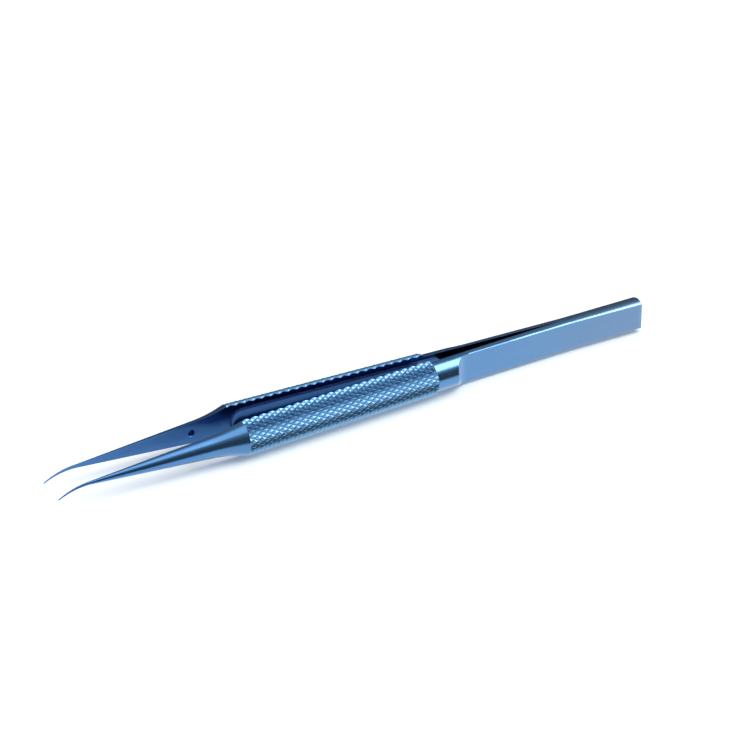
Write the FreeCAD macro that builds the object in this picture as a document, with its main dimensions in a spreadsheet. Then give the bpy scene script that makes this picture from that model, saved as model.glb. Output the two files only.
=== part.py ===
import FreeCAD, Part
import math
import os
import re
import Sketcher
from FreeCAD import Placement, Rotation, Vector

# Precision tweezers with round knurled grips and curved points, lying on the side.
# +X runs from the points to the joined end and +Z is up. The left arm is on the -Y side.
# The origin is under the middle of the object, on the surface that it lies on.
# Each arm is a half round bar with its flat face inwards. Its leaf is one piece with it on the
# bench, and is divided here into a rigid root and a spring, because the leaf bends in use.

doc = FreeCAD.newDocument("precision_tweezers")

# Lengths are in millimetres and angles in degrees.
sizes = {
    "overall_length": 140.0,        # points to joined end
    "joined_length": 19.0,          # where the two leaves lie on each other
    "free_leaf_length": 26.0,       # flat of the leaf in front of the joint
    "nose_length": 40.9,            # points to the front of the grip
    "grip_length": 45.6,
    "grip_diameter": 8.0,           # over the knurling
    "grip_chamfer": 0.3,            # at the rear edge of the knurling
    "neck_step": 0.5,               # grip down to the bar that the neck and the leaf are made from
    "splay_angle": 2.34,            # grip axis to the centre plane
    "nose_angle": 0.43,             # nose axis to the centre plane
    "leaf_thickness": 1.05,         # at the front of the leaf
    "leaf_end_thickness": 1.8,
    "leaf_runout_radius": 3.8,      # cutter radius at the front of the leaf
    "spring_setback": 3.0,          # rigid part of the leaf behind the run-out
    "nose_step": 0.1,               # grip down to the root of the nose
    "nose_overlap": 0.5,            # nose blank let into the grip
    "flare_length": 7.3,
    "flare_radius": 2.45,           # nose where the flare begins
    "point_root_radius": 0.4,       # nose where the curved point begins
    "point_end_radius": 0.13,
    "point_bend_radius": 14.0,
    "point_bend_angle": 30.0,
    "channel_cutter_radius": 3.8,   # ball cutter that hollows the inner face of the grip
    "channel_depth": 1.2,
    "channel_front_margin": 0.6,    # front of the grip to the channel
    "channel_rear_margin": 4.0,     # channel to the front of the leaf
    "guide_setback": 8.1,           # guide pin axis to the front of the grip
    "guide_pin_radius": 0.55,
    "guide_pin_seat": 1.5,          # length pressed into the left arm
    "guide_pin_entry": 1.1,         # length inside the right arm when the points meet
    "guide_pin_chamfer": 0.15,
    "guide_clearance": 0.15,        # pin to guide hole, radially
    "guide_hole_spare": 0.5,        # hole beyond the end of the pin when the points meet
    "flex_setback": 12.0,           # root of the leaf to the axis that stands for its bending
    "closed_point_gap": 0.05,       # between the points at the end of the joints' travel
    "weld_radius": 0.45,            # weld run along the top and the bottom of the joint
}

sheet = doc.addObject("Spreadsheet::Sheet", "Sizes")
for row, (alias, number) in enumerate(sizes.items(), start=1):
    sheet.set(f"A{row}", alias)
    sheet.set(f"B{row}", str(number))
    sheet.setAlias(f"B{row}", alias)
doc.recompute()


def size(alias):
    return float(sheet.get(alias))


def formula(text):
    # each size's name in a formula becomes a reference to its cell
    return re.sub(r"[a-z]+(?:_[a-z]+)+", lambda found: "Sizes." + found.group(0), text)


def bind(thing, **formulas):
    for name, text in formulas.items():
        thing.setExpression(name, formula(text))


def newBody(label):
    body = doc.addObject("PartDesign::Body", label)
    body.Label = label
    return body


def newSketch(body, name, plane, offset=Placement()):
    sketch = body.newObject("Sketcher::SketchObject", name)
    planes = [item for item in body.Origin.OriginFeatures if item.Role == plane]
    sketch.AttachmentSupport = [(planes[0], "")]
    sketch.MapMode = "FlatFace"
    sketch.AttachmentOffset = offset
    return sketch


def addOutline(sketch, points, arcs=(), smooth=()):
    # Closed outline. arcs maps the number of an edge to its centre, round which it runs
    # anticlockwise, and smooth lists the edges that run on tangent to the next.
    arcs = dict(arcs)
    corners = [Vector(x, y, 0) for x, y in points]
    count = len(corners)
    for edge in range(count):
        start, end = corners[edge], corners[(edge + 1) % count]
        if edge in arcs:
            centre = Vector(*arcs[edge], 0)
            circle = Part.Circle(centre, Vector(0, 0, 1), (start - centre).Length)
            curve = Part.ArcOfCircle(circle, circle.parameter(start), circle.parameter(end))
        else:
            curve = Part.LineSegment(start, end)
        sketch.addGeometry(curve, False)
    for edge in range(count):
        kind = "Tangent" if edge in smooth else "Coincident"
        sketch.addConstraint(Sketcher.Constraint(kind, edge, 2, (edge + 1) % count, 1))


def level(sketch, *edges):
    for edge in edges:
        sketch.addConstraint(Sketcher.Constraint("Horizontal", edge))


def upright(sketch, *edges):
    for edge in edges:
        sketch.addConstraint(Sketcher.Constraint("Vertical", edge))


def pin(sketch, edge, end, along=None, across=None):
    # places one end of an edge by its signed distances from the sketch's origin
    for kind, text in (("DistanceX", along), ("DistanceY", across)):
        if text is None:
            continue
        if text == "0":
            sketch.addConstraint(Sketcher.Constraint(
                "PointOnObject", edge, end, -2 if kind == "DistanceX" else -1))
            continue
        point = sketch.getPoint(edge, end)
        distance = point.x if kind == "DistanceX" else point.y
        index = sketch.addConstraint(Sketcher.Constraint(kind, -1, 1, edge, end, distance))
        sketch.setExpression(f"Constraints[{index}]", formula(text))


def turn(body, sketch, name, kind="PartDesign::Revolution", angle=180.0):
    feature = body.newObject(kind, name)
    feature.Profile = sketch
    feature.ReferenceAxis = (sketch, ["H_Axis"])
    feature.Angle = angle
    return feature


def millThrough(body, sketch, name):
    feature = body.newObject("PartDesign::Pocket", name)
    feature.Profile = sketch
    feature.SideType = "Symmetric"
    feature.Type = "Length"
    bind(feature, Length="grip_diameter * 2")
    return feature


def combine(kind, label, base, tool):
    result = doc.addObject(kind, label)
    result.Label = label
    result.Base = base
    result.Tool = tool
    return result


def mirrored(label, source):
    result = doc.addObject("Part::Mirroring", label)
    result.Label = label
    result.Source = source
    result.Base = Vector(0, 0, 0)
    result.Normal = Vector(0, 1, 0)
    return result


# Places along the left arm, worked out from the sizes.
splay = math.radians(size("splay_angle"))
noseTilt = math.radians(size("nose_angle"))
gripRadius = size("grip_diameter") / 2
noseRadius = gripRadius - size("nose_step")
barRadius = gripRadius - size("neck_step")
barFormula = "(grip_diameter / 2 - neck_step)"
leafLength = size("free_leaf_length") + size("joined_length")
rootX = size("overall_length") / 2 - size("joined_length")
armReach = ((size("overall_length") - size("joined_length")
             - size("nose_length") * math.cos(noseTilt)) / math.cos(splay))
armReachFormula = ("((overall_length - joined_length - nose_length * cos(nose_angle * 1deg))"
                   " / cos(splay_angle * 1deg))")

rootPlace = Placement(Vector(rootX, 0, gripRadius), Rotation())
handlePlace = rootPlace * Placement(Vector(), Rotation(Vector(0, 0, 1), size("splay_angle")))
bendPoint = handlePlace.multVec(Vector(-armReach, 0, 0))
nosePlace = Placement(bendPoint, Rotation(Vector(0, 0, 1), size("nose_angle")))


def leafThicknessAt(distance):
    # thickness of the leaf at a distance behind its front
    growth = size("leaf_end_thickness") - size("leaf_thickness")
    return size("leaf_thickness") + growth * distance / leafLength


def leafThicknessFormula(distance):
    return (f"(leaf_thickness + (leaf_end_thickness - leaf_thickness) * ({distance})"
            " / (free_leaf_length + joined_length))")


# Each arm turns about an axis inside its leaf, from rest until the points all but touch.
flexDistance = size("free_leaf_length") - size("flex_setback")
flexAxis = handlePlace.multVec(Vector(-size("flex_setback"), -leafThicknessAt(flexDistance) / 2, 0))
pointReach = nosePlace.multVec(Vector(-size("nose_length"), 0, 0)) - flexAxis
closing = (math.atan2(-pointReach.y, -pointReach.x)
           + math.asin((-flexAxis.y - size("closed_point_gap") / 2) / pointReach.Length))
closed = Placement(Vector(), Rotation(Vector(0, 0, 1), -math.degrees(closing)), flexAxis)
guideStart = nosePlace.multVec(Vector(-size("guide_setback"), 0, 0))
closedGuideGap = -2 * closed.multVec(guideStart).y
sheet.set(f"A{len(sizes) + 1}", "closed_guide_gap")
sheet.set(f"B{len(sizes) + 1}", f"{closedGuideGap:.6f}")
sheet.setAlias(f"B{len(sizes) + 1}", "closed_guide_gap")
doc.recompute()

# Handle: grip, neck and leaf, with the channel in the inner face. Its axis runs from the root
# of the leaf towards -X.
handle = newBody("left_handle_blank")
handle.Placement = handlePlace
gripRear = size("grip_length") - armReach
bar = newSketch(handle, "handle_profile", "XZ_Plane")
addOutline(bar, [
    (-armReach, 0),
    (-armReach, gripRadius),
    (gripRear - size("grip_chamfer"), gripRadius),
    (gripRear, gripRadius - size("grip_chamfer")),
    (gripRear, barRadius),
    (0, barRadius),
    (0, 0),
])
level(bar, 1, 4, 6)
upright(bar, 0, 3, 5)
pin(bar, 6, 1, "0", "0")
pin(bar, 0, 1, along="-" + armReachFormula)
pin(bar, 1, 1, across="grip_diameter / 2")
pin(bar, 2, 2, "grip_length - " + armReachFormula, "grip_diameter / 2 - grip_chamfer")
pin(bar, 2, 1, along="grip_length - grip_chamfer - " + armReachFormula)
pin(bar, 4, 1, across=barFormula)
turn(handle, bar, "handle_bar")

leafFront = -size("free_leaf_length")
runout = size("leaf_runout_radius")
leafFlat = newSketch(handle, "leaf_outline", "XY_Plane")
clearOf = size("grip_diameter")
pastRoot = 1.0
addOutline(leafFlat, [
    (leafFront, -size("leaf_thickness")),
    (leafFront - runout, -size("leaf_thickness") - runout),
    (leafFront - runout, -clearOf),
    (pastRoot, -clearOf),
    (pastRoot, -leafThicknessAt(size("free_leaf_length") + pastRoot)),
], {0: (leafFront, -size("leaf_thickness") - runout)})
level(leafFlat, 2)
upright(leafFlat, 1, 3)
pin(leafFlat, 0, 1, "-free_leaf_length", "-leaf_thickness")
pin(leafFlat, 0, 2, "-free_leaf_length - leaf_runout_radius", "-leaf_thickness - leaf_runout_radius")
pin(leafFlat, 0, 3, along="-free_leaf_length")
pin(leafFlat, 2, 2, f"{pastRoot}", "-grip_diameter")
pin(leafFlat, 4, 1, across="-" + leafThicknessFormula(f"free_leaf_length + {pastRoot}"))
millThrough(handle, leafFlat, "leaf_flat")

cutter = size("channel_cutter_radius")
halfWidth = math.sqrt(cutter ** 2 - (cutter - size("channel_depth")) ** 2)
halfWidthFormula = "sqrt(channel_cutter_radius ^ 2 - (channel_cutter_radius - channel_depth) ^ 2)"
channelFront = size("channel_front_margin") + halfWidth - armReach
channelRear = leafFront - size("channel_rear_margin") - halfWidth
channelAxis = Placement(Vector(0, cutter - size("channel_depth"), 0), Rotation())
channel = newSketch(handle, "channel_profile", "XY_Plane", channelAxis)
bind(channel, **{"AttachmentOffset.Base.y": "channel_cutter_radius - channel_depth"})
addOutline(channel, [
    (channelFront - cutter, 0),
    (channelFront, -cutter),
    (channelRear, -cutter),
    (channelRear + cutter, 0),
], {0: (channelFront, 0), 2: (channelRear, 0)})
level(channel, 1)
frontFormula = f"channel_front_margin + {halfWidthFormula} - {armReachFormula}"
rearFormula = f"-free_leaf_length - channel_rear_margin - {halfWidthFormula}"
pin(channel, 0, 3, frontFormula, "0")
pin(channel, 2, 3, rearFormula, "0")
pin(channel, 0, 2, frontFormula, "-channel_cutter_radius")
pin(channel, 1, 2, along=rearFormula)
pin(channel, 0, 1, across="0")
pin(channel, 2, 2, across="0")
turn(handle, channel, "channel", "PartDesign::Groove", 360.0)

# Nose: cone, flare and curved point. Its axis runs from the front of the grip towards -X.
nose = newBody("left_nose_blank")
nose.Placement = nosePlace
bendAngle = math.radians(size("point_bend_angle"))
pointLean = size("point_end_radius") * math.sin(bendAngle)
pointLeanFormula = "point_end_radius * sin(point_bend_angle * 1deg)"
coneFront = size("point_bend_radius") * math.sin(bendAngle) + pointLean - size("nose_length")
coneFrontFormula = ("((point_bend_radius + point_end_radius) * sin(point_bend_angle * 1deg)"
                    " - nose_length)")
coneSlope = (size("flare_radius") - size("point_root_radius")) / (-size("flare_length") - coneFront)
flareChord = Vector(size("flare_length"), noseRadius - size("flare_radius"), 0)
flareNormal = Vector(-coneSlope, 1, 0).normalize()
flareCurve = flareChord.Length ** 2 / (2 * flareChord.dot(flareNormal))
flareStart = Vector(-size("flare_length"), size("flare_radius"), 0)
flareCentre = flareStart + flareNormal * flareCurve
cone = newSketch(nose, "nose_profile", "XZ_Plane")
addOutline(cone, [
    (coneFront, 0),
    (coneFront, size("point_root_radius")),
    (flareStart.x, flareStart.y),
    (0, noseRadius),
    (size("nose_overlap"), noseRadius),
    (size("nose_overlap"), 0),
], {2: (flareCentre.x, flareCentre.y)}, smooth=[1])
level(cone, 3, 5)
upright(cone, 0, 4)
pin(cone, 0, 1, coneFrontFormula, "0")
pin(cone, 1, 1, across="point_root_radius")
pin(cone, 1, 2, "-flare_length", "flare_radius")
pin(cone, 3, 1, "0", "grip_diameter / 2 - nose_step")
pin(cone, 4, 1, along="nose_overlap")
turn(nose, cone, "nose_cone")


def pointSection(name, radiusAlias, place, formulas):
    # half disc with its flat side on the nose's flat face
    radius = size(radiusAlias)
    section = newSketch(nose, name, "YZ_Plane", place)
    bind(section, **formulas)
    addOutline(section, [(0, radius), (0, -radius)], {0: (0, 0)})
    pin(section, 0, 3, "0", "0")
    pin(section, 0, 1, "0", radiusAlias)
    pin(section, 0, 2, along="0")
    return section


bendRadius = size("point_bend_radius")
spine = newSketch(nose, "point_path", "XZ_Plane")
arcCircle = Part.Circle(Vector(coneFront, -bendRadius, 0), Vector(0, 0, 1), bendRadius)
spine.addGeometry(Part.ArcOfCircle(arcCircle, math.pi / 2, math.pi / 2 + bendAngle), False)
pin(spine, 0, 1, coneFrontFormula, "0")
pin(spine, 0, 3, coneFrontFormula, "-point_bend_radius")
pin(spine, 0, 2, along=pointLeanFormula + " - nose_length")
pointRoot = pointSection(
    "point_root_section", "point_root_radius",
    Placement(Vector(0, 0, coneFront), Rotation()),
    {"AttachmentOffset.Base.z": coneFrontFormula})
pointDrop = bendRadius * (1 - math.cos(bendAngle))
pointEnd = pointSection(
    "point_end_section", "point_end_radius",
    Placement(Vector(0, -pointDrop, pointLean - size("nose_length")),
              Rotation(Vector(1, 0, 0), size("point_bend_angle"))),
    {"AttachmentOffset.Base.y": "-point_bend_radius * (1 - cos(point_bend_angle * 1deg))",
     "AttachmentOffset.Base.z": pointLeanFormula + " - nose_length",
     "AttachmentOffset.Rotation.Angle": "point_bend_angle"})
point = nose.newObject("PartDesign::AdditivePipe", "curved_point")
point.Profile = pointRoot
point.Spine = (spine, ["Edge1"])
point.Transformation = "Multisection"
point.Sections = [pointEnd]

# The whole arm, and the same cut off where its leaf begins to bend.
armBlank = combine("Part::Fuse", "left_arm_blank", handle, nose)
springFront = size("spring_setback") - size("free_leaf_length")
springZone = doc.addObject("Part::Box", "spring_zone")
springZone.Placement = handlePlace * Placement(Vector(springFront, -clearOf, -clearOf), Rotation())
bind(springZone, Length="free_leaf_length - spring_setback",
     Width="grip_diameter * 2", Height="grip_diameter * 2")
armFront = combine("Part::Cut", "left_arm_front", armBlank, springZone)
springs = [combine("Part::Common", "left_leaf_spring", armBlank, springZone)]
springs.append(mirrored("right_leaf_spring", springs[0]))

# Guide pin in the left arm and its hole in the right. Both lie along Y when the points touch.
guidePlace = Placement(guideStart, Rotation(Vector(0, 0, 1), math.degrees(closing)))
towardsRight = Rotation(Vector(1, 0, 0), -90)


def guideDrill(name, depth, depthFormula, radiusFormula):
    # starts inside the left arm and comes out well past its flat face
    drill = doc.addObject("Part::Cylinder", name)
    drill.Placement = guidePlace * Placement(Vector(0, -depth, 0), towardsRight)
    bind(drill, Radius=radiusFormula, Height=depthFormula + " + guide_pin_radius")
    return drill


pinSeat = guideDrill("guide_pin_drill", size("guide_pin_seat"), "guide_pin_seat",
                     "guide_pin_radius")
guideBore = guideDrill("guide_hole_drill", size("guide_pin_entry") + size("guide_hole_spare"),
                       "guide_pin_entry + guide_hole_spare", "guide_pin_radius + guide_clearance")
arms = [
    combine("Part::Cut", "left_arm", armFront, pinSeat),
    combine("Part::Cut", "right_arm", mirrored("right_arm_front", armFront),
            mirrored("right_guide_drill", guideBore)),
]

guidePin = newBody("guide_pin")
guidePin.Placement = guidePlace * Placement(Vector(0, -size("guide_pin_seat"), 0), towardsRight)
pinCircle = newSketch(guidePin, "pin_circle", "XY_Plane")
pinCircle.addGeometry(Part.Circle(Vector(), Vector(0, 0, 1), size("guide_pin_radius")), False)
pin(pinCircle, 0, 3, "0", "0")
pinCircle.addConstraint(Sketcher.Constraint("Radius", 0, size("guide_pin_radius")))
pinCircle.setExpression(f"Constraints[{pinCircle.ConstraintCount - 1}]", formula("guide_pin_radius"))
pinRod = guidePin.newObject("PartDesign::Pad", "pin_rod")
pinRod.Profile = pinCircle
bind(pinRod, Length="guide_pin_seat + closed_guide_gap + guide_pin_entry")
doc.recompute()
farEdges = [f"Edge{number}" for number, edge in enumerate(pinRod.Shape.Edges, start=1)
            if edge.Closed and edge.CenterOfMass.z > size("guide_pin_seat")]
pinPoint = guidePin.newObject("PartDesign::Chamfer", "pin_lead")
pinPoint.Base = (pinRod, farEdges)
bind(pinPoint, Size="guide_pin_chamfer")

# Joined ends of the two leaves. They run along X and lie on each other in the centre plane.
leafEnd = newBody("left_leaf_end_blank")
leafEnd.Placement = rootPlace
endBar = newSketch(leafEnd, "end_profile", "XZ_Plane")
addOutline(endBar, [
    (0, 0),
    (0, barRadius),
    (size("joined_length"), barRadius),
    (size("joined_length"), 0),
])
level(endBar, 1, 3)
upright(endBar, 0, 2)
pin(endBar, 0, 1, "0", "0")
pin(endBar, 2, 1, "joined_length", barFormula)
turn(leafEnd, endBar, "end_bar")

rootThickness = leafThicknessAt(size("free_leaf_length"))
rootFormula = leafThicknessFormula("free_leaf_length")
cutMargin = 1.0
endFlat = newSketch(leafEnd, "end_outline", "XY_Plane")
addOutline(endFlat, [
    (0, 0),
    (rootThickness * math.sin(splay), -rootThickness * math.cos(splay)),
    (size("joined_length"), -size("leaf_end_thickness")),
    (size("joined_length") + cutMargin, -size("leaf_end_thickness")),
    (size("joined_length") + cutMargin, -clearOf),
    (-cutMargin, -clearOf),
    (-cutMargin, 0),
])
level(endFlat, 2, 4, 6)
upright(endFlat, 3, 5)
pin(endFlat, 0, 1, "0", "0")
pin(endFlat, 0, 2, rootFormula + " * sin(splay_angle * 1deg)",
    "-" + rootFormula + " * cos(splay_angle * 1deg)")
pin(endFlat, 1, 2, "joined_length", "-leaf_end_thickness")
pin(endFlat, 4, 1, f"joined_length + {cutMargin}", "-grip_diameter")
pin(endFlat, 5, 1, along=f"-{cutMargin}")
millThrough(leafEnd, endFlat, "end_flat")

# Weld run along the top and the bottom of the joint, ground flush with the bar.
weldRuns = []
for name, direction in (("upper_weld", 1), ("lower_weld", -1)):
    weld = doc.addObject("Part::Cylinder", name)
    weld.Placement = rootPlace * Placement(
        Vector(0, 0, direction * barRadius), Rotation(Vector(0, 1, 0), 90))
    bind(weld, Radius="weld_radius", Height="joined_length")
    weldRuns.append(weld)
weldPair = doc.addObject("Part::MultiFuse", "weld_pair")
weldPair.Shapes = weldRuns
endEnvelope = doc.addObject("Part::Cylinder", "joined_bar")
endEnvelope.Placement = rootPlace * Placement(Vector(), Rotation(Vector(0, 1, 0), 90))
bind(endEnvelope, Radius=barFormula, Height="joined_length")
weldSeam = combine("Part::Common", "weld_seam", weldPair, endEnvelope)
leafEnds = [combine("Part::Cut", "left_leaf_end", leafEnd, weldPair)]
leafEnds.append(mirrored("right_leaf_end", leafEnds[0]))

doc.recompute()
pieces = arms + springs + leafEnds + [guidePin, weldSeam]
for thing in doc.Objects:
    if "Invalid" in thing.State or "Error" in thing.State:
        raise RuntimeError(f"{thing.Label} could not be built: {thing.State}")
for piece in pieces:
    if piece.Shape.isNull() or not piece.Shape.isValid() or not piece.Shape.Solids:
        raise RuntimeError(f"{piece.Label} has no sound solid")
for cut, before in ((handle.Group[-1], handle.Group[-3]), (leafEnd.Group[-1], leafEnd.Group[-3])):
    if not cut.Shape.Volume < before.Shape.Volume - 1:
        raise RuntimeError(f"{cut.Label} removed nothing")

os.makedirs("parts", exist_ok=True)
for piece in pieces:
    piece.Shape.exportStep(f"parts/{piece.Label}.step")
    box = piece.Shape.optimalBoundingBox()
    print(f"{piece.Label}: {len(piece.Shape.Solids)} solid, {piece.Shape.Volume:.2f} mm3,"
          f" X {box.XMin:.2f} to {box.XMax:.2f}, Y {box.YMin:.2f} to {box.YMax:.2f},"
          f" Z {box.ZMin:.2f} to {box.ZMax:.2f}")
print(f"each arm turns {math.degrees(closing):.3f} degrees about X {flexAxis.x:.3f},"
      f" Y {flexAxis.y:.3f} and {-flexAxis.y:.3f}")
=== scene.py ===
# Precision tweezers in blue anodised titanium, lying on the side on a pale studio floor.
# Shapes are worked out in millimetres and turned into metres when a mesh is made.
import math
import bmesh
import bpy
from mathutils import Matrix, Vector


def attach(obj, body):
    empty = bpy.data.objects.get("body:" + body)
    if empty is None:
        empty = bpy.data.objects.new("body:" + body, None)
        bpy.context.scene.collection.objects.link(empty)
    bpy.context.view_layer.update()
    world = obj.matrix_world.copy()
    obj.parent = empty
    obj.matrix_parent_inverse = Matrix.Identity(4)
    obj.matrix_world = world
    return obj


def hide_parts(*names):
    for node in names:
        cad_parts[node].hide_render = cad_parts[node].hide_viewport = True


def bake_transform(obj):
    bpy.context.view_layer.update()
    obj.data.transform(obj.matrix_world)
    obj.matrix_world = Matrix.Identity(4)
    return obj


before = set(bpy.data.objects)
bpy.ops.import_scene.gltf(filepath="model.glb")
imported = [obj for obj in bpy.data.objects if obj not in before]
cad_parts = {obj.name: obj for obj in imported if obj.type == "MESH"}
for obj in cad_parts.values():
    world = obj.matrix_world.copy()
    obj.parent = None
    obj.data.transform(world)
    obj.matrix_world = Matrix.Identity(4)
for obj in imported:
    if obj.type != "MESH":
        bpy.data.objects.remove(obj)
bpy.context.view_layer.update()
millimetre = 0.001
creaseAngle = math.radians(26)
mergeDistance = 0.0002                  # in millimetres, far below anything modelled here
print("frame loaded")


# Small tools for meshes and node trees.

def linear(colour):
    # sRGB hex to the linear RGBA that a shader socket takes
    channels = [int(colour[place:place + 2], 16) / 255 for place in (1, 3, 5)]
    return tuple(c / 12.92 if c <= 0.04045 else ((c + 0.055) / 1.055) ** 2.4 for c in channels) + (1.0,)


def addNode(tree, kind, settings=None, inputs=None):
    # one node with its settings, its values and the links that come into it
    node = tree.nodes.new("ShaderNode" + kind)
    for name, value in (settings or {}).items():
        setattr(node, name, value)
    for socket, value in (inputs or {}).items():
        if isinstance(value, bpy.types.NodeSocket):
            tree.links.new(value, node.inputs[socket])
        else:
            node.inputs[socket].default_value = value
    return node


def addRamp(tree, factor, stops):
    # colour ramp from pairs of position and colour
    ramp = addNode(tree, "ValToRGB", None, {"Fac": factor})
    elements = ramp.color_ramp.elements
    while len(elements) < len(stops):
        elements.new(0.5)
    for element, (position, colour) in zip(elements, stops):
        element.position = position
        element.color = colour
    return ramp.outputs["Color"]


def newMaterial(name, fill):
    material = bpy.data.materials.new(name)
    material.use_nodes = True
    tree = material.node_tree
    tree.nodes.clear()
    shader = addNode(tree, "BsdfPrincipled", None, fill(tree))
    addNode(tree, "OutputMaterial", None, {"Surface": shader.outputs["BSDF"]})
    return material


def newObject(name, mesh, materials):
    # the mesh comes in millimetres, in the frame of the CAD model
    mesh.transform(Matrix.Scale(millimetre, 4))
    for material in materials:
        mesh.materials.append(material)
    mesh.shade_smooth()
    mesh.set_sharp_from_angle(angle=creaseAngle)
    thing = bpy.data.objects.new(name, mesh)
    bpy.context.scene.collection.objects.link(thing)
    return thing


def meshFrom(name, points, faces):
    mesh = bpy.data.meshes.new(name)
    mesh.from_pydata(points, [], faces)
    work = bmesh.new()
    work.from_mesh(mesh)
    bmesh.ops.recalc_face_normals(work, faces=work.faces)
    work.to_mesh(mesh)
    work.free()
    return mesh


def loft(rings, splits=None):
    # closed skin over rings of equal length. splits(ring, column) says how a cell is cut in two
    points = [point for ring in rings for point in ring]
    count = len(rings[0])
    faces = []
    for ring in range(len(rings) - 1):
        for column in range(count):
            across = (column + 1) % count
            a, b = ring * count + column, ring * count + across
            c, d = a + count, b + count
            cut = splits(ring, column) if splits else None
            if cut == "rising":
                faces += [(a, b, d), (a, d, c)]
            elif cut == "falling":
                faces += [(a, b, c), (b, d, c)]
            else:
                faces.append((a, b, d, c))
    faces.append(tuple(range(count)))
    faces.append(tuple(range(len(points) - count, len(points))))
    return points, faces


def cut(mesh, cutters):
    # takes each cutter away from the mesh with an exact boolean, then merges the specks it leaves
    body = bpy.data.objects.new("body_to_cut", mesh)
    bpy.context.scene.collection.objects.link(body)
    for number, cutter in enumerate(cutters):
        tool = bpy.data.objects.new(f"cutter_{number}", cutter)
        bpy.context.scene.collection.objects.link(tool)
        modifier = body.modifiers.new(f"cut_{number}", "BOOLEAN")
        modifier.operation = "DIFFERENCE"
        modifier.solver = "EXACT"
        modifier.object = tool
    bpy.context.view_layer.update()
    seen = body.evaluated_get(bpy.context.evaluated_depsgraph_get())
    result = bpy.data.meshes.new_from_object(seen)
    for thing in [body] + [modifier.object for modifier in body.modifiers]:
        bpy.data.objects.remove(thing)
    work = bmesh.new()
    work.from_mesh(result)
    bmesh.ops.remove_doubles(work, verts=work.verts, dist=mergeDistance)
    bmesh.ops.dissolve_degenerate(work, edges=work.edges, dist=mergeDistance)
    work.to_mesh(result)
    work.free()
    return result


# Materials.

def finePattern(tree, scales, detail):
    # noise stretched by its scales, in features per metre along each axis
    place = addNode(tree, "TexCoord")
    stretched = addNode(tree, "Mapping", None, {"Vector": place.outputs["Object"], "Scale": scales})
    noise = addNode(tree, "TexNoise", None, {
        "Vector": stretched.outputs["Vector"], "Scale": 1.0, "Detail": detail, "Roughness": 0.6})
    return noise.outputs["Fac"]


def spread(tree, factor, low, high):
    # stretches the middle half of a noise, where most of it lies, over low to high
    return addNode(tree, "MapRange", None, {
        "Value": factor, "From Min": 0.25, "From Max": 0.75, "To Min": low, "To Max": high,
    }).outputs["Result"]


def alongX(tree, clouds, wander, start, end):
    # 0 at start and 1 at end, in metres along X. The clouds make the change uneven.
    place = addNode(tree, "TexCoord")
    along = addNode(tree, "SeparateXYZ", None, {"Vector": place.outputs["Object"]})
    shifted = addNode(tree, "Math", {"operation": "MULTIPLY_ADD"}, {
        0: clouds, 1: wander, 2: along.outputs["X"]})
    return addNode(tree, "MapRange", None, {
        "Value": shifted.outputs["Value"], "From Min": start, "From Max": end}).outputs["Result"]


def anodisedTint(tree):
    # oxide colour: blue on the grip and the nose, drifting towards lavender at the joined end
    clouds = finePattern(tree, (55, 160, 160), 2.0)
    return addRamp(tree, alongX(tree, clouds, 0.03, -0.055, 0.085), [
        (0.0, linear("#5189c6")),
        (0.45, linear("#5f94c6")),
        (0.72, linear("#5b90c4")),
        (1.0, linear("#6f92ba")),
    ])


# A clear coat stands for the top of the oxide. It gives the blue metal its whiter highlights.

def turnedFill(tree):
    # satin turned surface: fine rings round the axis that soften the long highlights.
    # The rings are drawn 0.3 mm apart. Real ones would be too fine to see from the camera.
    rings = finePattern(tree, (3300, 40, 40), 2.0)
    bump = addNode(tree, "Bump", None, {"Height": rings, "Strength": 0.12, "Distance": 0.00002})
    return {"Base Color": anodisedTint(tree), "Metallic": 1.0, "Coat Weight": 0.5, "Coat Roughness": 0.2,
            "Roughness": spread(tree, rings, 0.20, 0.28), "Normal": bump.outputs["Normal"]}


def milledFill(tree):
    # flat milled surface: faint straight marks along the leaf and a slightly duller sheen
    marks = finePattern(tree, (90, 2600, 2600), 3.0)
    bump = addNode(tree, "Bump", None, {"Height": marks, "Strength": 0.04, "Distance": 0.00002})
    return {"Base Color": anodisedTint(tree), "Metallic": 1.0, "Coat Weight": 1.0, "Coat Roughness": 0.2,
            "Roughness": spread(tree, marks, 0.24, 0.32), "Normal": bump.outputs["Normal"]}


def innerFill(tree):
    # inner flats and the channel: ground finer, in a deeper and darker blue than the outside, with painted
    # shade that darkens them towards the grip, where the arms shade each other
    marks = finePattern(tree, (160, 2600, 2600), 3.0)
    clouds = finePattern(tree, (70, 220, 220), 2.0)
    # painted shade: the blue runs from lighter at the points to darker at the grip, where the other arm
    # shades these faces
    tone = addRamp(tree, alongX(tree, clouds, 0.01, -0.06, -0.02), [
        (0.0, linear("#5381b8")), (1.0, linear("#3b6294"))])
    bump = addNode(tree, "Bump", None, {"Height": marks, "Strength": 0.05, "Distance": 0.00002})
    return {"Base Color": tone, "Metallic": 1.0,
            "Roughness": spread(tree, marks, 0.16, 0.24), "Normal": bump.outputs["Normal"]}


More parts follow.
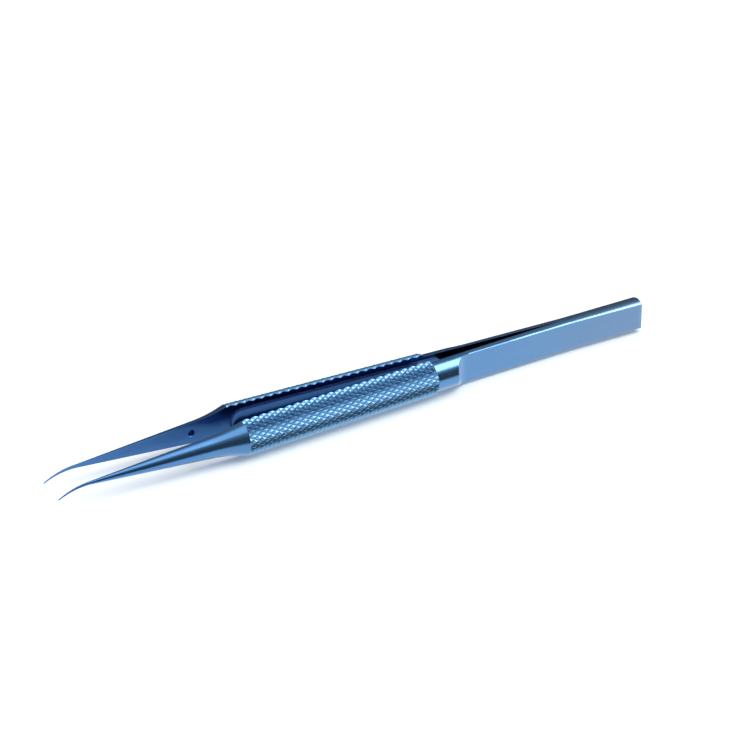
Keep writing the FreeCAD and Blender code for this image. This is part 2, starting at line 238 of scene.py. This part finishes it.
def knurledFill(tree):
    # knurling: burnished tops with a greener oxide, and painted shade that darkens it towards the bottoms
    # of the grooves
    relief = addNode(tree, "Attribute", {"attribute_name": "relief"})
    # colour by relief: lighter on the burnished tops, darker down in the grooves as painted shade in the
    # hollows
    shade = addRamp(tree, relief.outputs["Fac"], [
        (0.0, linear("#4a84bc")), (0.4, linear("#6aa6d6")), (1.0, linear("#84bde2"))])
    clouds = addRamp(tree, finePattern(tree, (120, 300, 300), 2.0), [
        (0.3, linear("#eef2f6")), (0.7, linear("#ffffff"))])
    colour = addNode(tree, "Mix", {"data_type": "RGBA", "blend_type": "MULTIPLY"}, {
        0: 1.0, 6: shade, 7: clouds})
    specks = finePattern(tree, (1500, 1500, 1500), 3.0)
    worn = addNode(tree, "MapRange", None, {
        "Value": relief.outputs["Fac"], "To Min": 0.34, "To Max": 0.27})
    roughness = addNode(tree, "Math", {"operation": "MULTIPLY_ADD"}, {
        0: specks, 1: 0.08, 2: worn.outputs["Result"]})
    bump = addNode(tree, "Bump", None, {"Height": specks, "Strength": 0.1, "Distance": 0.00003})
    return {"Base Color": colour.outputs[2], "Metallic": 1.0, "Coat Weight": 1.0, "Coat Roughness": 0.2,
            "Roughness": roughness.outputs["Value"], "Normal": bump.outputs["Normal"]}


def pinFill(tree):
    # bright ground steel with a trace of turning marks
    marks = finePattern(tree, (700, 2400, 700), 2.0)
    tone = addRamp(tree, marks, [(0.3, linear("#9aa3ad")), (0.7, linear("#b9c1ca"))])
    return {"Base Color": tone, "Metallic": 1.0, "Roughness": spread(tree, marks, 0.2, 0.3)}


def weldFill(tree):
    # weld run dressed flush before anodising: the same oxide, a little duller
    ripple = finePattern(tree, (1300, 500, 500), 2.0)
    bump = addNode(tree, "Bump", None, {"Height": ripple, "Strength": 0.15, "Distance": 0.00003})
    return {"Base Color": anodisedTint(tree), "Metallic": 1.0,
            "Roughness": spread(tree, ripple, 0.3, 0.4), "Normal": bump.outputs["Normal"]}


def floorFill(tree):
    # matt white acrylic lit from behind, so that its shadows stay pale and bluish
    grain = finePattern(tree, (9, 9, 9), 2.0)
    tone = addRamp(tree, grain, [(0.2, linear("#dbdcde")), (0.8, linear("#dedfe1"))])
    return {"Base Color": tone, "Roughness": 0.9, "Specular IOR Level": 0.1,
            "Emission Color": (0.62, 0.80, 1.0, 1.0), "Emission Strength": 0.28}


turned = newMaterial("anodisedTitaniumTurned", turnedFill)
milled = newMaterial("anodisedTitaniumMilled", milledFill)
inner = newMaterial("anodisedTitaniumInner", innerFill)
knurled = newMaterial("anodisedTitaniumKnurled", knurledFill)
pinSteel = newMaterial("groundSteel", pinFill)
weldTitanium = newMaterial("weldedTitanium", weldFill)
floorAcrylic = newMaterial("whiteSweep", floorFill)
print("materials made")


# Arms. Each is one bar from the curved point to the joined end. It is made straight, with q along
# its axis from the root of the leaf, its flat face at y = 0 and its round side towards -y.

arm = {
    "rootX": 51.0,
    "axisHeight": 4.0,
    "splay": math.radians(2.34),        # grip axis to the centre plane
    "noseTilt": math.radians(0.43),
    "overallLength": 140.0,
    "joinedLength": 19.0,
    "noseLength": 40.9,
    "noseRootRadius": 3.88,
    "flareLength": 7.3,
    "flareRadius": 2.45,
    "pointRootRadius": 0.4,
    "pointEndRadius": 0.13,
    "pointTipShare": 0.7,               # the very end is rounded down to this share of its radius
    "pointTipLength": 0.05,
    "pointBendRadius": 14.0,
    "pointBend": math.radians(30.0),
    "gripLength": 45.6,
    "gripRadius": 3.985,
    "gripRearRadius": 3.6,              # where the rounded rear of the grip meets the neck
    "gripRearLength": 0.8,
    "barRadius": 3.5,
    "leafFront": -26.0,
    "leafThickness": 1.05,
    "leafEndThickness": 1.8,
    "leafRunout": 3.8,
    "edgeBreak": 0.02,                  # chamfer along the flat face
    "edgeBreakShare": 0.12,             # of the radius, where the bar is thinner than that allows
    "endBreak": 0.12,                   # chamfer round the joined end
    "leafEdgeBreak": 0.06,              # depth of the chamfer on the outer edges of the leaf
    "leafEdgeAngle": math.radians(45),
    "bendSpread": 3.0,                  # the leaf curves over this length on each side of its root
    "channelCutter": 3.8,
    "channelOffset": 2.6,               # cutter axis beyond the flat face
    "channelHalfWidth": 2.771,
    "channelFrontMargin": 0.6,
    "channelRearMargin": 4.0,
    "guideSetback": 8.1,
    "guideHoleRadius": 0.70,
    "guideHoleDepth": 1.6,
    "guideRimBreak": 0.06,              # chamfer at the mouth of the hole
    "guideEndBreak": 0.1,
    "closing": math.radians(1.868),     # how far each arm turns until the points meet
    "weldRadius": 0.45,
    "blendMargin": 3.0,                 # the blend of the two bodies ends this far behind the run-out
    "cutterDepth": 9.0,                 # the leaf's cutter reaches past the bar, outwards and in height
    "cutterHalfHeight": 6.0,
}
spacing = {                             # most that the rings of the bar stand apart
    "point": 0.3,
    "cone": 0.9,
    "flare": 0.35,
    "bar": 1.0,
    "channel": 3.0,
}
knurl = {
    "pitch": 2.0,                       # along the bar
    "across": 11,                       # diamonds round the half bar
    "steps": 8,                         # mesh cells for each diamond, both ways
    "depth": 0.30,
    "top": 0.875,                       # share of the height where the flat tops begin
}
columns = knurl["across"] * knurl["steps"]
armReach = ((arm["overallLength"] - arm["joinedLength"] - arm["noseLength"] * math.cos(arm["noseTilt"]))
            / math.cos(arm["splay"]))
gripRear = arm["gripLength"] - armReach
bendPoint = Vector((arm["rootX"] - armReach * math.cos(arm["splay"]),
                    -armReach * math.sin(arm["splay"]), arm["axisHeight"]))
nosePlace = Matrix.Translation(bendPoint) @ Matrix.Rotation(arm["noseTilt"], 4, "Z")
coneFront = ((arm["pointBendRadius"] + arm["pointEndRadius"]) * math.sin(arm["pointBend"])
             - arm["noseLength"])
pointLength = arm["pointBendRadius"] * arm["pointBend"]


def noseRadiusAt(x):
    # x runs along the straightened nose, from the front of the grip at 0 to the point
    if x < coneFront:
        share = (coneFront - x) / pointLength
        return arm["pointRootRadius"] + (arm["pointEndRadius"] - arm["pointRootRadius"]) * share
    slope = (arm["flareRadius"] - arm["pointRootRadius"]) / (-arm["flareLength"] - coneFront)
    if x < -arm["flareLength"]:
        return arm["pointRootRadius"] + slope * (x - coneFront)
    start = Vector((-arm["flareLength"], arm["flareRadius"]))
    chord = Vector((0.0, arm["noseRootRadius"])) - start
    normal = Vector((-slope, 1.0)).normalized()
    curve = chord.length_squared / (2 * chord.dot(normal))
    centre = start + normal * curve
    return centre.y - math.sqrt(curve ** 2 - (x - centre.x) ** 2)


def triangleWave(x):
    return 2 * min(x % 1.0, 1.0 - x % 1.0)


def knurlRadiusAt(step, column):
    # two crossed sets of grooves leave rows of small pyramids
    along, around = step / knurl["steps"], column / knurl["steps"]
    height = min(triangleWave(along + around), triangleWave(along - around))
    radius = arm["gripRadius"] - knurl["depth"] * (1 - min(height / knurl["top"], 1.0))
    toRear = arm["gripLength"] - knurl["pitch"] * along
    if toRear < arm["gripRearLength"]:
        share = 1 - toRear / arm["gripRearLength"]
        drop = arm["gripRadius"] - arm["gripRearRadius"]
        radius = min(radius, arm["gripRearRadius"] + drop * math.sqrt(max(0.0, 1 - share ** 2)))
    return radius


def barRing(q, radii):
    # section of the bar: arc from the bottom edge round to the top edge, then the flat face
    ring = []
    for column, radius in enumerate(radii):
        angle = math.pi * (column / columns - 0.5)
        depth = max(radius * math.cos(angle), min(arm["edgeBreak"], arm["edgeBreakShare"] * radius))
        ring.append((q, -depth, radius * math.sin(angle)))
    for radius in (radii[-1], -radii[0]):
        chamfer = min(arm["edgeBreak"], arm["edgeBreakShare"] * abs(radius))
        ring.append((q, 0.0, radius - math.copysign(chamfer, radius)))
    return ring


def evenly(start, end, most):
    # positions from start to end, at most so far apart
    count = max(1, math.ceil(abs(end - start) / most))
    return [start + (end - start) * number / count for number in range(count + 1)]


def straightBar():
    # skin of the whole bar before its flats and hollows are cut
    point = coneFront - pointLength
    rings = [barRing(point - armReach, [arm["pointTipShare"] * arm["pointEndRadius"]] * (columns + 1))]
    for x in (evenly(point + arm["pointTipLength"], coneFront, spacing["point"])[:-1]
              + evenly(coneFront, -arm["flareLength"], spacing["cone"])[:-1]
              + evenly(-arm["flareLength"], 0.0, spacing["flare"])):
        rings.append(barRing(x - armReach, [noseRadiusAt(x)] * (columns + 1)))
    first = len(rings)
    steps = round(arm["gripLength"] / knurl["pitch"] * knurl["steps"])
    for step in range(steps + 1):
        q = step * knurl["pitch"] / knurl["steps"] - armReach
        shift = 0.02 if step == 0 else 0.0  # the front face of the grip stands almost square
        rings.append(barRing(q + shift, [knurlRadiusAt(step, column) for column in range(columns + 1)]))
    last = len(rings) - 1
    rear = arm["joinedLength"]
    for q in evenly(gripRear + 0.02, rear - arm["endBreak"], spacing["bar"]):
        rings.append(barRing(q, [arm["barRadius"]] * (columns + 1)))
    rings.append(barRing(rear, [arm["barRadius"] - arm["endBreak"]] * (columns + 1)))

    def groove(ring, column):
        # cells of the knurling are folded along the grooves and along the edges of the tops
        if not first <= ring < last or column >= columns:
            return None
        return "falling" if (ring - first + column) % 2 else "rising"

    return loft(rings, groove)


def leafThicknessAt(q):
    share = (q - arm["leafFront"]) / (arm["joinedLength"] - arm["leafFront"])
    return arm["leafThickness"] + (arm["leafEndThickness"] - arm["leafThickness"]) * share


def leafCutter():
    # mills the outer flat of the leaf and leaves a round run-out at its front
    past, rear = arm["joinedLength"] + 2, arm["joinedLength"]
    end, edge = arm["leafEndThickness"], arm["endBreak"]
    profile = [(past, arm["cutterDepth"]), (past, end - edge), (rear, end - edge),
               (rear - 0.3 * edge, end - 0.3 * edge)]
    profile += [(q, leafThicknessAt(q)) for q in evenly(rear - edge, arm["leafFront"], spacing["bar"])]
    steps = 16
    for number in range(1, steps + 1):
        angle = math.pi / 2 * number / steps
        profile.append((arm["leafFront"] - arm["leafRunout"] * math.sin(angle),
                        arm["leafThickness"] + arm["leafRunout"] * (1 - math.cos(angle))))
    profile.append((arm["leafFront"] - arm["leafRunout"], arm["cutterDepth"]))
    return loft([[(q, -depth, height) for q, depth in profile]
                 for height in (-arm["cutterHalfHeight"], arm["cutterHalfHeight"])])


def leafEdgeCutter(side):
    # chamfers the outer edge of the leaf, at the top for side 1 and at the bottom for side -1
    normal = Vector((-math.cos(arm["leafEdgeAngle"]), math.sin(arm["leafEdgeAngle"])))
    along = Vector((normal.y, -normal.x))
    rings = []
    for q in evenly(arm["leafFront"], arm["joinedLength"] + 1, spacing["bar"]):
        thickness = leafThicknessAt(q)
        edge = Vector((-thickness, math.sqrt(arm["barRadius"] ** 2 - thickness ** 2)))
        # the chamfer starts from nothing just behind the run-out
        depth = min(arm["leafEdgeBreak"], 0.08 * (q - arm["leafFront"]) - 0.02)
        corners = [edge - normal * depth - along, edge - normal * depth + along,
                   edge + normal + along, edge + normal - along]
        rings.append([(q, corner.x, side * corner.y) for corner in corners])
    return loft(rings)


def ballCutter():
    # ball cutter run along the grip for the channel in the flat face
    front = arm["channelFrontMargin"] + arm["channelHalfWidth"] - armReach
    rear = arm["leafFront"] - arm["channelRearMargin"] - arm["channelHalfWidth"]
    radius, around = arm["channelCutter"], 96
    turns = [math.radians(angle) for angle in range(3, 91, 3)]
    spine = [(front - radius * math.cos(turn), radius * math.sin(turn)) for turn in turns]
    spine += [(q, radius) for q in evenly(front, rear, spacing["channel"])[1:-1]]
    spine += [(rear + radius * math.cos(turn), radius * math.sin(turn)) for turn in reversed(turns)]
    return loft([[(q, arm["channelOffset"] + size * math.cos(2 * math.pi * number / around),
                   size * math.sin(2 * math.pi * number / around)) for number in range(around)]
                 for q, size in spine])


def weldCutter(height):
    # room for the weld run along the joint. No corner of it lies in the flat face of the bar.
    around = 32
    turns = [2 * math.pi * (number + 0.5) / around for number in range(around)]
    return loft([[(q, arm["weldRadius"] * math.cos(turn), height + arm["weldRadius"] * math.sin(turn))
                  for turn in turns] for q in evenly(0.013, arm["joinedLength"] + 1, spacing["bar"])])


def guideHoleCutter():
    # blind hole in line with the guide pin when the points touch
    into = nosePlace.to_3x3().inverted() @ Vector((math.sin(arm["closing"]), -math.cos(arm["closing"]), 0))
    radius, depth = arm["guideHoleRadius"], arm["guideHoleDepth"]
    mouth, end = radius + arm["guideRimBreak"], arm["guideEndBreak"]
    return roundBar(Vector((-arm["guideSetback"] - armReach, 0, 0)), into, [
        (-1.0, mouth), (-0.01, mouth), (0.05, radius), (depth - end, radius), (depth, radius - end)], 48)


def bent(point):
    # a point of the straight bar at its place in the left arm
    q, y, z = point
    if q < -armReach:
        x = q + armReach
        if x < coneFront:
            turn = (coneFront - x) / arm["pointBendRadius"]
            x = coneFront - (arm["pointBendRadius"] + z) * math.sin(turn)
            z = (arm["pointBendRadius"] + z) * math.cos(turn) - arm["pointBendRadius"]
        return nosePlace @ Vector((x, y, z))
    spreadLength, splay = arm["bendSpread"], arm["splay"]
    share = min(max((spreadLength - q) / (2 * spreadLength), 0.0), 1.0)
    lean = splay * share
    if share < 1:
        x, aside = q - (1 - math.cos(splay)) * q * share, -splay * spreadLength * share ** 2
    else:
        x, aside = q * math.cos(splay), q * math.sin(splay)
    return Vector((arm["rootX"] + x - y * math.sin(lean), aside + y * math.cos(lean),
                   arm["axisHeight"] + z))


armFinishes = [turned, milled, knurled, inner]


def finishOf(centre):
    # finish of a face of the straight bar, by where its middle is
    q, y, z = centre
    outside = y < -0.02
    onRound = outside and math.hypot(y, z) > arm["barRadius"] - 0.03
    if q < -armReach:
        return turned if outside else inner
    if q < gripRear:
        return knurled if onRound else inner
    if not outside:
        return inner
    return turned if onRound and q < arm["leafFront"] else milled


def makeArm(name, side):
    # side is -1 for the left arm and 1 for the right
    cutters = [leafCutter(), leafEdgeCutter(1), leafEdgeCutter(-1), ballCutter(),
               weldCutter(arm["barRadius"]), weldCutter(-arm["barRadius"])]
    if side > 0:
        cutters.append(guideHoleCutter())
    bar = meshFrom(name, *straightBar())
    mesh = cut(bar, [meshFrom("cutter", *shape) for shape in cutters])
    mesh.materials.clear()
    finishes = [finishOf(face.center) for face in mesh.polygons]
    reliefs = []
    for vertex in mesh.vertices:
        radius = math.hypot(vertex.co.y, vertex.co.z)
        reliefs.append(1 - (arm["gripRadius"] - radius) / knurl["depth"])
        place = bent(vertex.co)
        vertex.co = Vector((place.x, place.y * -side, place.z))
    if side > 0:
        mesh.flip_normals()
    for face, finish in zip(mesh.polygons, finishes):
        face.material_index = armFinishes.index(finish)
    relief = mesh.attributes.new("relief", "FLOAT", "POINT")
    relief.data.foreach_set("value", [min(max(value, 0.0), 1.0) for value in reliefs])
    mesh.name = name
    return mesh


def roundBar(origin, direction, profile, around):
    # turned piece from pairs of distance along its axis and radius
    turn = Vector((0, 0, 1)).rotation_difference(direction).to_matrix()
    return loft([[tuple(origin + turn @ Vector((
        radius * math.cos(2 * math.pi * number / around),
        radius * math.sin(2 * math.pi * number / around), distance)))
        for number in range(around)] for distance, radius in profile])


guideStart = nosePlace @ Vector((-arm["guideSetback"], 0, 0))
towardsRight = Vector((-math.sin(arm["closing"]), math.cos(arm["closing"]), 0))
leftMesh = makeArm("leftArm", -1)
print("left arm made")
rightMesh = makeArm("rightArm", 1)
print("right arm made")

leftArm = newObject("leftArm", leftMesh, armFinishes)
rightArm = newObject("rightArm", rightMesh, armFinishes)
for thing, side, sign in ((leftArm, "left", -1), (rightArm, "right", 1)):
    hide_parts(f"{side}_arm", f"{side}_leaf_spring", f"{side}_leaf_end")
    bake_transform(thing)


# Guide pin. It stands in the left arm and points at the hole in the right arm.

pin = {
    "radius": 0.55,
    "seat": 1.5,                        # length inside the left arm
    "length": 4.30,
    "foot": 0.4,                        # where the pin is clear of the flat face
    "lead": 0.15,                       # rounding at the free end, with one ring part of the way
    "leadBack": 0.045,
    "leadIn": 0.065,
}
tip = pin["length"] - pin["seat"]
pinShape = roundBar(guideStart, towardsRight, [
    (-pin["seat"], pin["radius"]), (pin["foot"], pin["radius"]), (tip - pin["lead"], pin["radius"]),
    (tip - pin["leadBack"], pin["radius"] - pin["leadIn"]), (tip, pin["radius"] - pin["lead"])], 48)
guidePin = newObject("guidePin", meshFrom("guidePin", *pinShape), [pinSteel])
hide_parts("guide_pin")
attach(guidePin, "left_jaw")


# Weld runs along the top and the bottom of the joint, dressed flush with the bar.

weld = {
    "radius": arm["weldRadius"],
    "barRadius": arm["barRadius"],
    "ripple": 0.012,
    "rippleLength": 0.9,
    "spacing": 0.15,                    # rings along the run
    "steps": 8,
}


def weldRun(side):
    # one run in the length of the joint: its outside follows the bar, its inside is round
    reach = weld["radius"] ** 2 / (2 * weld["barRadius"])
    half = math.asin(math.sqrt(weld["radius"] ** 2 - reach ** 2) / weld["barRadius"])
    low = math.atan2(-reach, math.sqrt(weld["radius"] ** 2 - reach ** 2))
    rings = []
    for x in evenly(arm["rootX"], arm["rootX"] + arm["joinedLength"], weld["spacing"]):
        wave = weld["ripple"] * (math.cos(2 * math.pi * x / weld["rippleLength"]) - 1)
        ring = []
        for number in range(weld["steps"] + 1):
            angle = half * (2 * number / weld["steps"] - 1)
            radius = weld["barRadius"] + wave * math.cos(angle / half * math.pi / 2)
            ring.append((x, radius * math.sin(angle), side * radius * math.cos(angle)))
        for number in range(1, weld["steps"]):
            angle = low + (-math.pi - 2 * low) * number / weld["steps"]
            ring.append((x, weld["radius"] * math.cos(angle),
                         side * (weld["barRadius"] + weld["radius"] * math.sin(angle))))
        rings.append([(x, y, z + arm["axisHeight"]) for x, y, z in ring])
    return loft(rings)


topPoints, topFaces = weldRun(1)
bottomPoints, bottomFaces = weldRun(-1)
weldFaces = topFaces + [tuple(index + len(topPoints) for index in face) for face in bottomFaces]
weldMesh = meshFrom("weldSeam", topPoints + bottomPoints, weldFaces)
weldSeam = newObject("weldSeam", weldMesh, [weldTitanium])
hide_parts("weld_seam")
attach(weldSeam, "joined_end")
print("pin and weld made")


# Floor, light and camera.

studio = {
    "floorHalf": 3.0,
    "floorDrop": 0.00002,               # below the object, so that they don't share a plane
    "slot": [(-0.080, -0.0068), (-0.040, -0.0062), (-0.029, -0.0035),   # outline between the arms
             (0.051, 0.0), (-0.029, 0.0035), (-0.080, 0.0042)],
    "softboxSize": (1.0, 1.15),
    "softboxPlace": Vector((0.67, -0.20, 0.715)) * 1.5,
    "softboxPower": 15.0,
    "skyPlace": Vector((-0.05, 0.22, 0.97)),
    "skyAngle": math.radians(80),
    "skyStrength": 1.2,
    "skyColour": (1.0, 0.95, 0.87),
    "wallColour": (0.93, 0.97, 1.0, 1.0),
    "bands": [(-0.20, 0.0), (-0.18, 0.05), (0.0, 0.12), (0.45, 0.12), (0.62, 0.30), (1.0, 0.30)],
}


def makeFloor(name, outline, hole, inReflections):
    # flat piece of the floor, with a hole that another piece fills
    drop = studio["floorDrop"]
    work = bmesh.new()
    loops = [[work.verts.new((x, y, -drop)) for x, y in loop] for loop in (outline, hole) if loop]
    edges = [work.edges.new((loop[place - 1], loop[place])) for loop in loops for place in range(len(loop))]
    bmesh.ops.triangle_fill(work, use_beauty=True, edges=edges, normal=(0, 0, 1))
    mesh = bpy.data.meshes.new(name)
    work.to_mesh(mesh)
    work.free()
    mesh.materials.append(floorAcrylic)
    thing = bpy.data.objects.new(name, mesh)
    bpy.context.scene.collection.objects.link(thing)
    thing.visible_glossy = inReflections


# The metal mirrors the wide floor as a bright field below the horizon. Only the strip of floor
# between the arms is mirrored as it is, in the shade of both arms.
half = studio["floorHalf"]
makeFloor("floor", [(-half, -half), (half, -half), (half, half), (-half, half)], studio["slot"], False)
makeFloor("floorBetweenArms", studio["slot"], None, True)

softbox = bpy.data.lights.new("softbox", "AREA")
softbox.shape = "RECTANGLE"
softbox.size, softbox.size_y = studio["softboxSize"]
softbox.energy = studio["softboxPower"]
softboxObject = bpy.data.objects.new("softbox", softbox)
softboxObject.location = studio["softboxPlace"]
softboxObject.rotation_euler = studio["softboxPlace"].to_track_quat("Z", "Y").to_euler()
softboxObject.visible_camera = False
bpy.context.scene.collection.objects.link(softboxObject)

# The sky is as wide as a ceiling. It makes the soft shadows and does not show in the metal.
sky = bpy.data.lights.new("sky", "SUN")
sky.angle = studio["skyAngle"]
sky.energy = studio["skyStrength"]
sky.color = studio["skyColour"]
skyObject = bpy.data.objects.new("sky", sky)
skyObject.rotation_euler = studio["skyPlace"].to_track_quat("Z", "Y").to_euler()
skyObject.visible_glossy = False
bpy.context.scene.collection.objects.link(skyObject)

world = bpy.data.worlds.new("studio")
bpy.context.scene.world = world
world.use_nodes = True
tree = world.node_tree
tree.nodes.clear()
direction = addNode(tree, "TexCoord")
parts = addNode(tree, "SeparateXYZ", None, {"Vector": direction.outputs["Generated"]})


def fade(name, start, end, low, high):
    # smooth change of a factor along one axis of the view into the studio
    return addNode(tree, "MapRange", {"interpolation_type": "SMOOTHSTEP"}, {
        "Value": parts.outputs[name], "From Min": start, "From Max": end, "To Min": low, "To Max": high,
    }).outputs["Result"]


def product(*factors):
    # the factors multiplied with each other
    result = factors[0]
    for factor in factors[1:]:
        result = addNode(tree, "Math", {"operation": "MULTIPLY"}, {0: result, 1: factor}).outputs["Value"]
    return result


# The bright field that stands for the wide floor. It's weaker behind the object and stronger to its right.
floorField = product(fade("Z", -0.34, -0.20, 0.97, 0.0), fade("Y", 0.3, 0.6, 1.0, 0.6),
                     fade("X", 0.0, 0.7, 1.0, 1.25))

# Grey walls: each band is a height, from -1 below to 1 above, with the light that comes from there.
height = addNode(tree, "MapRange", None, {"Value": parts.outputs["Z"], "From Min": -1.0})
walls = addRamp(tree, height.outputs["Result"], [
    ((level + 1) / 2, (light, light, light, 1.0)) for level, light in studio["bands"]])

# A wide lit ceiling, open at the front and the back.
ceiling = product(fade("Z", 0.60, 0.78, 0.0, 1.0), fade("Y", -0.66, -0.50, 0.0, 1.0),
                  fade("Y", 0.06, 0.26, 1.0, 0.0))
lower = addNode(tree, "Math", {"operation": "ADD"}, {0: walls, 1: floorField})
total = addNode(tree, "Math", {"operation": "ADD"}, {0: lower.outputs["Value"], 1: ceiling})
background = addNode(tree, "Background", None, {
    "Color": studio["wallColour"], "Strength": total.outputs["Value"]})
addNode(tree, "OutputWorld", None, {"Surface": background.outputs["Background"]})

view = {
    "azimuth": math.radians(-29.17),
    "elevation": math.radians(30.07),
    "roll": math.radians(-0.54),
    "distance": 575.6,
    "lens": 132.3,
    "sensorWidth": 36.0,
    "clip": (0.01, 20.0),               # in metres
    "target": Vector((0, 0, 4)),
    "right": 3.40,                      # the target sits this far left of the middle
    "up": 3.93,
}
back = Vector((math.sin(view["azimuth"]) * math.cos(view["elevation"]),
               -math.cos(view["azimuth"]) * math.cos(view["elevation"]), math.sin(view["elevation"])))
levelRight = Vector((0, 0, 1)).cross(back).normalized()
levelUp = back.cross(levelRight)
right = levelRight * math.cos(view["roll"]) + levelUp * math.sin(view["roll"])
up = levelUp * math.cos(view["roll"]) - levelRight * math.sin(view["roll"])
camera = bpy.data.cameras.new("camera")
camera.lens = view["lens"]
camera.sensor_width = view["sensorWidth"]
camera.clip_start, camera.clip_end = view["clip"]
cameraObject = bpy.data.objects.new("camera", camera)
place = view["target"] + back * view["distance"] + right * view["right"] + up * view["up"]
turn = Matrix((right, up, back)).transposed().to_4x4()
cameraObject.matrix_world = Matrix.Translation(place * millimetre) @ turn
bpy.context.scene.collection.objects.link(cameraObject)
bpy.context.scene.camera = cameraObject
bpy.context.scene.view_settings.view_transform = "Standard"
print("studio made")
